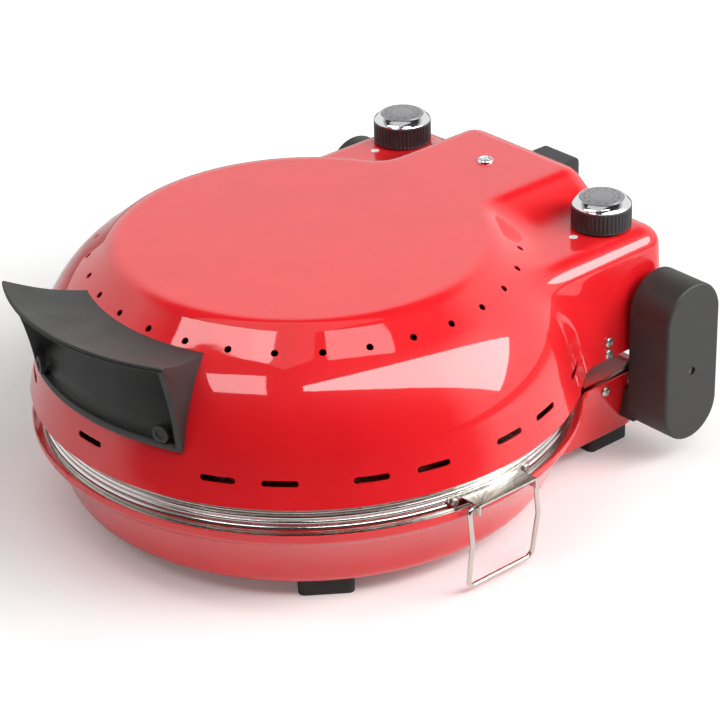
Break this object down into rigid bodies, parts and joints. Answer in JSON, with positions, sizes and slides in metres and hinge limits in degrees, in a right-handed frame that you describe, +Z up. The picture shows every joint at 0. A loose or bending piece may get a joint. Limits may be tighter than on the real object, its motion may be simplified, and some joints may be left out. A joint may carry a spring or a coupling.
{
  "type": "countertop pizza oven",
  "caption": "Round clamshell pizza oven with a baking stone, a hinged lid, front scoop handle, two rotary controls and side wire bails.",
  "frame": {"origin": "centre of the oven's bounding box on the counter it stands on", "axes": "+Z up, -Y towards the handle at the front, +X to the right of someone facing the back from the front"},
  "size_m": [0.3668, 0.4258, 0.1749],
  "materials": {
    "red_enamel": "gloss enamel",
    "reflector_steel": "bright aluminised sheet",
    "bright_steel": "bright stainless",
    "zinc_steel": "zinc plated",
    "nickel_wire": "nickel plated",
    "chrome": "mirror",
    "black_matte": "fine matte texture",
    "black_knob": "satin",
    "dial_grey": "satin disc",
    "foot_black": "moulded",
    "heater_tube": "oxidised",
    "stone": "fired cordierite",
    "control_body": "moulded",
    "lamp_lens": "clear moulded"
  },
  "bodies": {
    "base": {"base_shell": "red_enamel", "base_rear_cover": "red_enamel", "lower_reflector": "reflector_steel", "lower_element": "heater_tube", "lower_element_clips": "reflector_steel", "stone_ring": "bright_steel", "bail_bracket_right": "nickel_wire", "bail_bracket_left": "nickel_wire", "bracket_screws": "zinc_steel", "foot_front_left": "foot_black", "foot_front_right": "foot_black", "foot_rear_left": "foot_black", "foot_rear_right": "foot_black", "foot_screws": "zinc_steel", "base_hinge_plate_right": "zinc_steel", "base_hinge_plate_left": "zinc_steel", "hinge_pin_right": "zinc_steel", "hinge_pin_left": "zinc_steel", "ear_cover_right": "black_matte", "ear_cover_left": "black_matte", "ear_screws": "zinc_steel", "base_side_screws": "zinc_steel"},
    "stone": {"pizza_stone": "stone"},
    "right_bail": {"bail_right": "nickel_wire"},
    "left_bail": {"bail_left": "nickel_wire"},
    "lid": {"lid_shell": "red_enamel", "lid_back_cover": "zinc_steel", "lid_reflector": "bright_steel", "upper_element": "heater_tube", "upper_element_clips": "reflector_steel", "lid_hinge_plate_right": "zinc_steel", "lid_hinge_plate_left": "zinc_steel", "lid_side_screws": "zinc_steel", "handle": "black_matte", "handle_screws": "zinc_steel", "rear_rest": "black_matte", "rest_screws": "zinc_steel", "cord_gland": "foot_black", "thermostat": "control_body", "timer": "control_body", "pilot_bezel": "chrome", "pilot_lens": "lamp_lens", "pilot_holder": "control_body"},
    "thermostat_dial": {"thermostat_spindle": "zinc_steel", "thermostat_knob": "black_knob", "thermostat_bevel": "chrome", "thermostat_face": "dial_grey"},
    "timer_dial": {"timer_spindle": "zinc_steel", "timer_knob": "black_knob", "timer_bevel": "chrome", "timer_face": "dial_grey"}
  },
  "joints": [
    {"name": "lid_hinge", "type": "hinge", "parent": "base", "child": "lid", "pos_m": [0, 0.1664, 0.0693], "axis": [-1, 0, 0], "range_deg": [0, 105]},
    {"name": "thermostat_turn", "type": "hinge", "parent": "lid", "child": "thermostat_dial", "pos_m": [-0.0937, 0.1515, 0.16], "axis": [0, 0, -1], "range_deg": [0, 270]},
    {"name": "timer_turn", "type": "hinge", "parent": "lid", "child": "timer_dial", "pos_m": [0.0937, 0.1515, 0.16], "axis": [0, 0, -1], "range_deg": [0, 300]},
    {"name": "right_bail_swing", "type": "hinge", "parent": "base", "child": "right_bail", "pos_m": [0.1782, -0.0181, 0.0612], "axis": [0, -1, 0], "range_deg": [-15, 170]},
    {"name": "left_bail_swing", "type": "hinge", "parent": "base", "child": "left_bail", "pos_m": [-0.1782, -0.0181, 0.0612], "axis": [0, 1, 0], "range_deg": [-15, 170]},
    {"name": "stone_lift", "type": "slide", "parent": "base", "child": "stone", "axis": [0, 0, 1], "range_m": [0, 0.02]}
  ]
}
